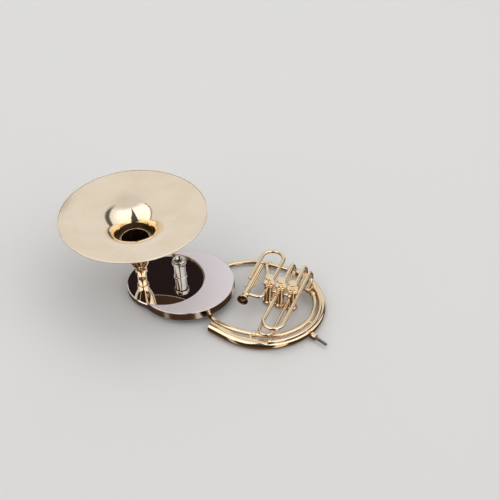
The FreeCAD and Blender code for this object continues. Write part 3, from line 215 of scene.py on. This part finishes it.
# The slot that the camera looks through narrows to a point at its top.
off_camera = tent_math("ABSOLUTE", tent_math("SUBTRACT", azimuth, math.radians(CAMERA_AZIMUTH)))
slot = tent_step(tent_math("MULTIPLY_ADD", look_z, SLOT_TAPER, off_camera), *SLOT_HALF)
slotted = tent_math(
    "MULTIPLY", white_cloth, tent_math("MULTIPLY_ADD", slot, 1 - SLOT_GLOW, SLOT_GLOW))
upper_tent = tent_mix(
    tent_step(look_z, *CEILING_RISE), slotted, (CEILING_GLOW, CEILING_GLOW, CEILING_GLOW, 1))
dark_cloth = tent_mix(tent_step(look_z, *FOOT_RISE), *FOOT_COLOURS)
foot_bands = [
    (middle + side, [glow * share * tint for tint in LIGHTS_TINT])
    for middle, half, glow in FOOT_LIGHTS
    for side, share in ((-half - LIGHTS_EDGE, 0), (-half, 1), (half, 1), (half + LIGHTS_EDGE, 0))]
foot_lights = tent_ring((0, 0, 0), foot_bands)
tent_foot = tent_mix(tent_step(look_z, *LIGHTS_RISE), dark_cloth, foot_lights, "ADD")
leaned = tent_math("MULTIPLY_ADD", look_x, HEM_LEAN[0], look_z)
hem = tent_step(tent_math("MULTIPLY_ADD", look_y, HEM_LEAN[1], leaned), *HEM_RISE)
hung_tent = tent_mix(hem, tent_foot, upper_tent)
tent_tree.links.new(hung_tent, tent_tree.nodes["Background"].inputs["Color"])

# Bell flare: spun from sheet brass over a former, its edge rolled into a bead at the rim. The plate
# is satin gold with the fine rings that the spinner's tool leaves. Deep in the throat it is painted
# amber, a painted shade, and the bead is painted paler, a painted highlight.
BELL_TILT = (0.0, math.radians(-5.0), math.radians(4.5))
BEAD_GLOSS = (0.28, 0.36)
BEAD_METALLIC = 0.6
RING_PITCH = 0.7 * MM
RING_DEPTH = 0.01 * MM
RING_RELIEF = 0.35
RING_TINT = 0.3
RING_WANDER = 0.8
WAVE_TEXTURE_PITCH = 0.314
# Painted shade: the flare's colour turns amber within these distances of its axis, deep in the
# throat.
THROAT_SHADE = (0.83, 0.63, 0.36, 1)
THROAT_SHADE_WITHIN = 8.0 * MM
THROAT_SHADE_GONE = 10.4 * MM
NOISE_LOW = 0.3
NOISE_HIGH = 0.7
WEAR_FINENESS = 7
TUBE_CREASE = 38
bell_turn = Matrix.Rotation(BELL_TILT[2], 3, "Z") @ Matrix.Rotation(BELL_TILT[1], 3, "Y")
bell_up = bell_turn @ Vector((0, 0, 1))


def tinted(tree, share, deep, pale, low=0.0, high=1.0):
    """A colour that goes from deep to pale as the share goes from low to high."""
    tint = added(tree, "ShaderNodeValToRGB", {"Fac": share}, name="tint")
    for stop, place, colour in zip(tint.color_ramp.elements, (low, high), (deep, pale)):
        stop.position = place
        stop.color = (*colour, 1)
    return tint.outputs["Color"]


def plated(name, deep, pale, gloss, drift_scale=90.0, metallic=1.0):
    """Buffed plate: its colour drifts from deep to pale, and its gloss is a little uneven."""
    made = bpy.data.materials.new(name)
    made.use_nodes = True
    tree = made.node_tree
    shader = tree.nodes["Principled BSDF"]
    shader.inputs["Metallic"].default_value = metallic
    spot = added(tree, "ShaderNodeTexCoord", name="spot").outputs["Object"]
    drift = added(tree, "ShaderNodeTexNoise", {
        "Vector": spot, "Scale": drift_scale, "Detail": 3.0}, name="drift").outputs["Fac"]
    wear = added(tree, "ShaderNodeTexNoise", {
        "Vector": spot, "Scale": drift_scale * WEAR_FINENESS, "Detail": 5.0}).outputs["Fac"]
    spread = added(tree, "ShaderNodeMapRange", {
        "Value": wear, "From Min": NOISE_LOW, "From Max": NOISE_HIGH,
        "To Min": gloss[0], "To Max": gloss[1]}).outputs["Result"]
    colour = tinted(tree, drift, deep, pale, NOISE_LOW, NOISE_HIGH)
    tree.links.new(colour, shader.inputs["Base Color"])
    tree.links.new(spread, shader.inputs["Roughness"])
    return made


def finish_in(material, *names):
    """Gives CAD pieces, kept as they are, a material."""
    for name in names:
        for holder in nodes[name].material_slots:
            holder.material = material


def shown(name, mesh, body, slot, *replaced):
    """Puts a finished mesh in the scene, on its body."""
    piece = bpy.data.objects.new(name, mesh)
    bpy.context.scene.collection.objects.link(piece)
    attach(piece, body)
    if replaced:
        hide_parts(*replaced)
    return piece


def clean_copy(node, crease, *materials):
    """A joined copy of a piece, its small flats shaded as one curve up to the crease angle."""
    mesh = nodes[node].data.copy()
    if "custom_normal" in mesh.attributes:
        mesh.attributes.remove(mesh.attributes["custom_normal"])
    work = bmesh.new()
    work.from_mesh(mesh)
    bmesh.ops.remove_doubles(work, verts=work.verts, dist=0.001 * MM)
    work.to_mesh(mesh)
    work.free()
    mesh.shade_smooth()
    mesh.set_sharp_from_angle(angle=math.radians(crease))
    mesh.materials.clear()
    for material in materials:
        mesh.materials.append(material)
    return mesh


def smoothed(material, slot, crease, *names):
    """Puts joined copies in the place of CAD pieces, so their curves shade as one surface."""
    for name in names:
        mesh = clean_copy(name, crease, material)
        shown(name + "_polished", mesh, body_of(nodes[name])[0], slot, name)


def middle_of(node):
    low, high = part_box(node)
    return (low + high) / 2


satin_gold = plated("satin_gold", (0.87, 0.725, 0.545), (0.955, 0.83, 0.665), (0.06, 0.11))
satin_tree = satin_gold.node_tree
satin_shader = satin_tree.nodes["Principled BSDF"]
satin_tint = satin_tree.nodes["tint"]
centred = added(satin_tree, "ShaderNodeMapping", {
    "Vector": satin_tree.nodes["spot"].outputs["Object"],
    "Location": middle_of("bell_rim_bead"), "Rotation": BELL_TILT,
}, vector_type="TEXTURE").outputs["Vector"]
tool_rings = added(satin_tree, "ShaderNodeTexWave", {
    "Vector": centred, "Scale": WAVE_TEXTURE_PITCH / RING_PITCH, "Distortion": RING_WANDER,
    "Detail": 3.0, "Detail Scale": 1.5,
}, wave_type="RINGS", rings_direction="Z").outputs["Fac"]
ringed_drift = added(satin_tree, "ShaderNodeMix", {
    "Factor": RING_TINT, "A": satin_tree.nodes["drift"].outputs["Fac"], "B": tool_rings})
satin_tree.links.new(ringed_drift.outputs["Result"], satin_tint.inputs["Fac"])
spoke_way = added(satin_tree, "ShaderNodeVectorMath", {
    0: centred, 1: (1, 1, 0)}, operation="MULTIPLY").outputs["Vector"]
off_axis = added(
    satin_tree, "ShaderNodeVectorMath", {0: spoke_way}, operation="LENGTH").outputs["Value"]
# The painted throat shade fades out between the two distances from the axis.
throat_shade_fade = added(satin_tree, "ShaderNodeMapRange", {
    "Value": off_axis, "From Min": THROAT_SHADE_WITHIN, "From Max": THROAT_SHADE_GONE}).outputs["Result"]
shaded_throat_colour = added(satin_tree, "ShaderNodeMix", {
    "Factor": throat_shade_fade, "A": THROAT_SHADE, "B": satin_tint.outputs["Color"]}, data_type="RGBA")
satin_tree.links.new(shaded_throat_colour.outputs["Result"], satin_shader.inputs["Base Color"])
ring_relief = added(satin_tree, "ShaderNodeBump", {
    "Strength": RING_RELIEF, "Distance": RING_DEPTH, "Height": tool_rings})
satin_tree.links.new(ring_relief.outputs["Normal"], satin_shader.inputs["Normal"])
finish_in(satin_gold, "bell_flare")
# Painted highlight: the rim bead is paler and less metallic than the flare, so it stays bright all
# round.
painted_bead_highlight = plated(
    "painted_bead_highlight", (0.93, 0.80, 0.62), (0.97, 0.86, 0.70), BEAD_GLOSS, metallic=BEAD_METALLIC)
smoothed(painted_bead_highlight, "gold_plate", TUBE_CREASE, "bell_rim_bead")

# Throat ring: a turned brass ring soldered in where the flare meets the neck. Neither plating nor a
# buffing wheel reaches far inside it, so it is dull, and it is painted dark as painted shade, but
# for a step facing up that is painted paler as painted light, and a bright wire lip at its foot.
BORE_CREASE = 35
STEP_FACING = 0.6
LIP_WIRE = 0.13 * MM
LIP_OUT = 0.6
LIP_UP = 3.2
LIP_STEPS = 72
LIP_ROUND = 10
SHELL_CREASE = 50
bright_gold = plated("bright_gold", (0.91, 0.71, 0.47), (0.96, 0.79, 0.56), (0.05, 0.10))
# Painted light: the step inside the throat ring that faces up is painted a paler amber.
painted_lit_step = plated("painted_lit_step", (0.42, 0.32, 0.20), (0.55, 0.43, 0.28), (0.2, 0.3))
# Painted shade: the bores inside the throat ring and the neck are painted near black.
dull_bore_painted_shade = plated("dull_bore_painted_shade", (0.07, 0.04, 0.022), (0.15, 0.09, 0.05), (0.35, 0.55))


def closed_shell(name, points, faces, material):
    """A closed mesh with its faces outwards, smooth but at its corners."""
    mesh = bpy.data.meshes.new(name)
    mesh.from_pydata(points, [], faces)
    work = bmesh.new()
    work.from_mesh(mesh)
    bmesh.ops.recalc_face_normals(work, faces=work.faces)
    work.to_mesh(mesh)
    work.free()
    mesh.shade_smooth()
    mesh.set_sharp_from_angle(angle=math.radians(SHELL_CREASE))
    mesh.materials.append(material)
    return mesh


throat_mesh = clean_copy("bell_throat_ring", BORE_CREASE, dull_bore_painted_shade, painted_lit_step)
throat_middle = middle_of("bell_throat_ring")
# Faces below the middle that face up take the second finish: painted light on the step.
for face in throat_mesh.polygons:
    below = (face.center - throat_middle).dot(bell_up) < 0
    if below and face.normal.dot(bell_up) > STEP_FACING:
        face.material_index = 1
shown("bell_throat_ring_dulled", throat_mesh, "bell", "satin_gold", "bell_throat_ring")
throat_spokes = [vertex.co - throat_middle for vertex in throat_mesh.vertices]
throat_foot = min(spoke.dot(bell_up) for spoke in throat_spokes)
throat_bore = min((spoke - bell_up * spoke.dot(bell_up)).length for spoke in throat_spokes)
lip_side = bell_up.cross(Vector((0, 1, 0))).normalized()
lip_across = bell_up.cross(lip_side)
lip_points, lip_faces = [], []
for i in range(LIP_STEPS):
    angle = math.tau * i / LIP_STEPS
    spoke = lip_side * math.cos(angle) + lip_across * math.sin(angle)
    here, ahead = i * LIP_ROUND, (i + 1) % LIP_STEPS * LIP_ROUND
    for k in range(LIP_ROUND):
        around = math.tau * k / LIP_ROUND
        radius = throat_bore + LIP_WIRE * (LIP_OUT + math.cos(around))
        height = throat_foot + LIP_WIRE * (LIP_UP + math.sin(around))
        lip_points.append(throat_middle + spoke * radius + bell_up * height)
        beside = (k + 1) % LIP_ROUND
        lip_faces.append((here + k, here + beside, ahead + beside, ahead + k))
shown(
    "throat_lip_edge", closed_shell("throat_lip_edge", lip_points, lip_faces, bright_gold),
    "bell", "satin_gold")

# Bell neck: a swayed tube of sheet brass with a soldered seam, bright gold outside, and dull
# within, where it is painted dark as painted shade.
# At its foot a ring stiffens it, and a thinner tube below the ring plugs into the coil.
neck_mesh = clean_copy("bell_neck", BORE_CREASE, bright_gold, dull_bore_painted_shade)
neck_foot, neck_head = middle_of("bell_ferrule"), middle_of("bell_throat_ring")
neck_line = neck_head - neck_foot
# Faces of the neck that look inward take the bore's painted shade.
for face in neck_mesh.polygons:
    rise = (face.center - neck_foot).dot(neck_line) / neck_line.length_squared
    outward = face.center - (neck_foot + neck_line * rise)
    if outward.dot(face.normal) < 0:
        face.material_index = 1
shown("bell_neck_plated", neck_mesh, "bell", "gold_plate", "bell_neck")
smoothed(bright_gold, "gold_plate", TUBE_CREASE, "bell_ferrule", "bell_tenon")

# Stand base: a turned metal crescent that clasps a mirror disc. The crescent's top is satin with a
# lilac cast and its sides are bright. The disc is polished till it mirrors.
FLAT_FACING = (0.93, 0.98)


def satin_on_top(material, up, colour, roughness, metallic):
    """Gives the flats of a plated piece that face up a second, satin finish."""
    tree = material.node_tree
    shader = tree.nodes["Principled BSDF"]
    normal = added(tree, "ShaderNodeNewGeometry").outputs["Normal"]
    facing = added(
        tree, "ShaderNodeVectorMath", {0: normal, 1: up}, operation="DOT_PRODUCT").outputs["Value"]
    flat = added(tree, "ShaderNodeMapRange", {
        "Value": facing, "From Min": FLAT_FACING[0], "From Max": FLAT_FACING[1]}).outputs["Result"]
    dye = added(tree, "ShaderNodeMix", {
        "Factor": flat, "A": tree.nodes["tint"].outputs["Color"], "B": (*colour, 1),
    }, data_type="RGBA").outputs["Result"]
    matt = added(tree, "ShaderNodeMix", {
        "Factor": flat, "A": shader.inputs["Roughness"].links[0].from_socket, "B": roughness,
    }).outputs["Result"]
    shine = added(tree, "ShaderNodeMapRange", {
        "Value": flat, "To Min": 1.0, "To Max": metallic}).outputs["Result"]
    tree.links.new(dye, shader.inputs["Base Color"])
    tree.links.new(matt, shader.inputs["Roughness"])
    tree.links.new(shine, shader.inputs["Metallic"])


stand_satin = plated("stand_satin", (0.52, 0.44, 0.38), (0.62, 0.53, 0.46), (0.12, 0.2))
satin_on_top(stand_satin, bell_up, (0.78, 0.725, 0.75), roughness=0.5, metallic=0.35)
disc_mirror = plated("disc_mirror", (0.80, 0.75, 0.70), (0.84, 0.79, 0.74), (0.01, 0.025))
finish_in(stand_satin, "crescent_base")
finish_in(disc_mirror, "mirror_disc")

# Window for the mirror. A mirror shows what stands opposite the camera, so the tent has a small
# dark window just there. The disc looks dark in it, and the sloping flare never faces it.
WINDOW_CLEAR = 2.0
WINDOW_EDGE = 2.4
WINDOW_COLOUR = (0.02, 0.012, 0.012, 1)
glance = (middle_of("mirror_disc") - CAMERA_PLACE).normalized()
window_way = added(tent_tree, "ShaderNodeVectorMath", {
    0: look, 1: glance.reflect(bell_up)}, operation="DOT_PRODUCT").outputs["Value"]
window = tent_step(
    window_way, math.cos(math.radians(WINDOW_EDGE)), math.cos(math.radians(WINDOW_CLEAR)))
tent_tree.links.new(
    tent_mix(window, hung_tent, WINDOW_COLOUR), tent_tree.nodes["Background"].inputs["Color"])

# Post: a round silver-plated post turned from the bar, with rings at its waist and foot, held by a
# steel screw from below. Its cap has the threaded hole that takes the stud on the coil.
CAP_CREASE = 42
STEEL_GRAIN = 400.0
post_silver = plated("post_silver", (0.50, 0.48, 0.46), (0.60, 0.575, 0.55), (0.03, 0.07))
dark_steel = plated(
    "dark_steel", (0.20, 0.17, 0.15), (0.34, 0.30, 0.27), (0.22, 0.36), drift_scale=STEEL_GRAIN)
smoothed(post_silver, "silver_plate", TUBE_CREASE, "stand_post")
smoothed(post_silver, "silver_plate", CAP_CREASE, "post_cap")
finish_in(dark_steel, "post_screw")

# Felt pad: a thin layer of black felt glued under the stand's base, so that the metal doesn't
# scratch what it stands on.
FELT_FIBRE_SCALE = 2600.0
FELT_RELIEF = 0.1 * MM
FELT_ROUGHNESS = 0.95
FELT_SHEEN = 0.3
felt = bpy.data.materials.new("black_felt")
felt.use_nodes = True
felt_tree = felt.node_tree
felt_shader = felt_tree.nodes["Principled BSDF"]
felt_shader.inputs["Roughness"].default_value = FELT_ROUGHNESS
felt_shader.inputs["Sheen Weight"].default_value = FELT_SHEEN
fluff = added(felt_tree, "ShaderNodeTexNoise", {
    "Vector": added(felt_tree, "ShaderNodeTexCoord").outputs["Object"],
    "Scale": FELT_FIBRE_SCALE, "Detail": 6.0}).outputs["Fac"]
felt_colour = tinted(felt_tree, fluff, (0.008, 0.008, 0.009), (0.05, 0.05, 0.055))
felt_relief = added(felt_tree, "ShaderNodeBump", {"Distance": FELT_RELIEF, "Height": fluff})
felt_tree.links.new(felt_colour, felt_shader.inputs["Base Color"])
felt_tree.links.new(felt_relief.outputs["Normal"], felt_shader.inputs["Normal"])
finish_in(felt, "base_pad")

# Coil: brass tubes bent on a former, each branch wider than the one before, held by soldered
# collars and braces and gold plated as one. A silver-plated ferrule covers the big branch's end.
smoothed(
    bright_gold, "gold_plate", TUBE_CREASE, "bell_receiver", "big_branch", "top_branch",
    "second_branch", "inner_branch", "inner_branch_elbow", "middle_branch", "coil_collars",
    "coil_braces", "stud_boss")
smoothed(post_silver, "silver_plate", TUBE_CREASE, "big_branch_ferrule")

# Mounting stud: a steel stud with a rolled thread, screwed into the boss on the outside of the
# coil. It carries the horn upright on the stand's post.
STUD_PITCH = 0.45 * MM
STUD_DEPTH = 0.13 * MM
STUD_TIP = 0.62
STUD_TIP_SLOPE = 0.8
AROUND = 28
PER_TURN = 8
boss_middle, stud_middle = middle_of("stud_boss"), middle_of("mounting_stud")
stud_way = (stud_middle - boss_middle).normalized()
stud_side = stud_way.cross(Vector((0, 0, 1))).normalized()
stud_rise = stud_side.cross(stud_way)
from_boss = [vertex.co - boss_middle for vertex in nodes["mounting_stud"].data.vertices]
stud_start = min(point.dot(stud_way) for point in from_boss)
stud_end = max(point.dot(stud_way) for point in from_boss)
stud_radius = max((point - stud_way * point.dot(stud_way)).length for point in from_boss)
stud_rings = int((stud_end - stud_start) / STUD_PITCH * PER_TURN)
stud_points, stud_faces = [], []
for i in range(stud_rings + 1):
    along = stud_start + (stud_end - stud_start) * i / stud_rings
    tip_radius = stud_radius * STUD_TIP + (stud_end - along) * STUD_TIP_SLOPE
    for k in range(AROUND):
        share = k / AROUND
        phase = ((along - stud_start) / STUD_PITCH - share) % 1
        radius = min(stud_radius - STUD_DEPTH * abs(2 * phase - 1), tip_radius)
        spoke = stud_side * math.cos(math.tau * share) + stud_rise * math.sin(math.tau * share)
        stud_points.append(boss_middle + stud_way * along + spoke * radius)
        if i < stud_rings:
            here, beside = i * AROUND + k, i * AROUND + (k + 1) % AROUND
            stud_faces.append((here, beside, beside + AROUND, here + AROUND))
stud_faces.append(tuple(range(AROUND - 1, -1, -1)))
stud_faces.append(tuple(range(stud_rings * AROUND, (stud_rings + 1) * AROUND)))
stud_mesh = closed_shell("mounting_stud_threaded", stud_points, stud_faces, dark_steel)
shown("mounting_stud_threaded", stud_mesh, "horn", "steel", "mounting_stud")

# Valve casings: three drawn brass tubes side by side, joined by short soldered knuckles and closed
# at both ends by screwed caps, all gold plated.
smoothed(
    bright_gold, "gold_plate", TUBE_CREASE, "first_valve_casing", "second_valve_casing",
    "third_valve_casing", "valve_knuckles", "top_valve_caps", "bottom_valve_caps")

# Cap knurling: straight ribs rolled into the valve caps for the fingers, two bands on each top cap
# and one on each bottom cap.
RIB_COUNT = 44
RIB_RADIUS = 0.13 * MM
RIB_SUNK = 0.04 * MM
RIB_SIDES = 8
# The place of each band up the cap, and its height, both as shares of the cap's height.
TOP_BANDS = ((0.23, 0.22), (0.74, 0.27))
BOTTOM_BANDS = ((0.5, 0.6),)


def rib_ring_tree():
    """Upright ribs set side by side round a ring."""
    tree = bpy.data.node_groups.new("rib_ring", "GeometryNodeTree")
    for name, kind in (
            ("Count", "NodeSocketInt"), ("Ring Radius", "NodeSocketFloat"),
            ("Rib Radius", "NodeSocketFloat"), ("Rib Height", "NodeSocketFloat"),
            ("Finish", "NodeSocketMaterial")):
        tree.interface.new_socket(name, in_out="INPUT", socket_type=kind)
    tree.interface.new_socket("Ribs", in_out="OUTPUT", socket_type="NodeSocketGeometry")
    given = added(tree, "NodeGroupInput").outputs
    ring = added(tree, "GeometryNodeMeshCircle", {
        "Vertices": given["Count"], "Radius": given["Ring Radius"]}).outputs["Mesh"]
    rib = added(tree, "GeometryNodeMeshCylinder", {
        "Vertices": RIB_SIDES, "Radius": given["Rib Radius"], "Depth": given["Rib Height"],
    }).outputs["Mesh"]
    spread = added(tree, "GeometryNodeInstanceOnPoints", {
        "Points": ring, "Instance": rib}).outputs["Instances"]
    real = added(tree, "GeometryNodeRealizeInstances", {"Geometry": spread}).outputs["Geometry"]
    dressed = added(tree, "GeometryNodeSetMaterial", {
        "Geometry": real, "Material": given["Finish"]}).outputs["Geometry"]
    added(tree, "NodeGroupOutput", {"Ribs": dressed})
    return tree


def grown(tree, values, places):
    """The plain mesh that a tree makes, once at each place."""
    holder = bpy.data.objects.new("grower", bpy.data.meshes.new("seed"))
    bpy.context.scene.collection.objects.link(holder)
    grower = holder.modifiers.new("grower", "NODES")
    grower.node_group = tree
    for item in tree.interface.items_tree:
        if item.in_out == "INPUT":
            grower[item.identifier] = values[item.name]
    settled = holder.evaluated_get(bpy.context.evaluated_depsgraph_get())
    one = bpy.data.meshes.new_from_object(settled)
    holder.modifiers.remove(grower)
    bpy.data.objects.remove(holder)
    work = bmesh.new()
    for place in places:
        copy = one.copy()
        copy.transform(place)
        work.from_mesh(copy)
    whole = bpy.data.meshes.new(tree.name + "_grown")
    work.to_mesh(whole)
    work.free()
    for material in one.materials:
        whole.materials.append(material)
    whole.shade_smooth()
    whole.set_sharp_from_angle(angle=math.radians(SHELL_CREASE))
    return whole


ribs = rib_ring_tree()
cap_low, cap_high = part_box("top_valve_caps")
cap_radius = (cap_high.y - cap_low.y) / 2
valve_spots = [middle_of(name + "_valve_button") for name in ("first", "second", "third")]
for name, caps, bands in (
        ("top_cap_knurl", "top_valve_caps", TOP_BANDS),
        ("bottom_cap_knurl", "bottom_valve_caps", BOTTOM_BANDS)):
    low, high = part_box(caps)
    height = high.z - low.z
    for number, (place_share, height_share) in enumerate(bands):
        knurl = grown(ribs, {
            "Count": RIB_COUNT, "Ring Radius": cap_radius - RIB_SUNK, "Rib Radius": RIB_RADIUS,
            "Rib Height": height * height_share, "Finish": bright_gold,
        }, [Matrix.Translation((spot.x, spot.y, low.z + height * place_share))
            for spot in valve_spots])
        shown("%s_%d" % (name, number + 1), knurl, "horn", "gold_plate")

# Pistons and springs: each casing holds a ground steel piston, pushed up by a spring of wound steel
# wire that stands on the bottom cap.
SPRING_CREASE = 60
finish_in(dark_steel, "first_piston", "second_piston", "third_piston")
spring_wire = plated(
    "spring_wire", (0.36, 0.34, 0.32), (0.52, 0.50, 0.47), (0.16, 0.26), drift_scale=STEEL_GRAIN)
for name in ("first", "second", "third"):
    node = name + "_valve_spring"
    spring = shown(
        node + "_wound", clean_copy(node, SPRING_CREASE, spring_wire), "horn", "spring_steel", node)
    low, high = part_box(node)
    height = high.z - low.z
    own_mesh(spring)

# Finger buttons: turned brass discs on thin stems that screw into the pistons, gold plated, with
# flat tops rubbed satin.
BUTTON_CREASE = 30
button_gold = plated("button_gold", (0.88, 0.66, 0.39), (0.94, 0.74, 0.47), (0.06, 0.12))
satin_on_top(button_gold, (0, 0, 1), (0.86, 0.73, 0.54), roughness=0.3, metallic=0.9)
smoothed(
    button_gold, "button_cream", BUTTON_CREASE, "first_valve_button", "second_valve_button",
    "third_valve_button")

# Leadpipe: a drawn brass tube with two plain rods soldered beside it, the receiver for the
# mouthpiece at one end, and a bent gooseneck and two small tubes that lead to the first valve.
smoothed(
    bright_gold, "gold_plate", TUBE_CREASE, "leadpipe", "leadpipe_side_rods",
    "mouthpiece_receiver", "gooseneck", "first_valve_front_tube", "first_valve_back_tube")

# Slides: U-bows of drawn tube that push into sleeves soldered to the valves and the coil, and under
# them a fixed loop and a thin return tube. All gold plated.
smoothed(
    bright_gold, "gold_plate", TUBE_CREASE, "front_slide", "front_slide_valve_sleeve",
    "front_slide_long_tube", "second_slide", "second_slide_sleeves", "third_slide",
    "third_slide_sleeves", "tuning_slide", "tuning_slide_sleeve", "lower_loop", "return_curl")

# Mouthpiece: turned from brass bar, with a rolled rim, a smooth cup and a taper that pushes into
# its receiver. Gold plated outside; inside the cup it is painted near black as painted shade.
MOUTHPIECE_CREASE = 40
THROAT_RADIUS = 0.2 * MM
FACING_IN = -1e-7
painted_cup_shade = plated("painted_cup_shade", (0.10, 0.055, 0.028), (0.17, 0.10, 0.05), (0.04, 0.08))
mouthpiece_mesh = clean_copy("mouthpiece", MOUTHPIECE_CREASE, bright_gold, painted_cup_shade)
mouth_middle = middle_of("mouthpiece")
# Faces inside the cup take the dark painted shade.
for face in mouthpiece_mesh.polygons:
    away = Vector((face.center.x - mouth_middle.x, 0, face.center.z - mouth_middle.z))
    if away.dot(face.normal) < FACING_IN or away.length < THROAT_RADIUS:
        face.material_index = 1
shown("mouthpiece_turned", mouthpiece_mesh, "mouthpiece", "gold_plate", "mouthpiece")

bpy.context.view_layer.update()
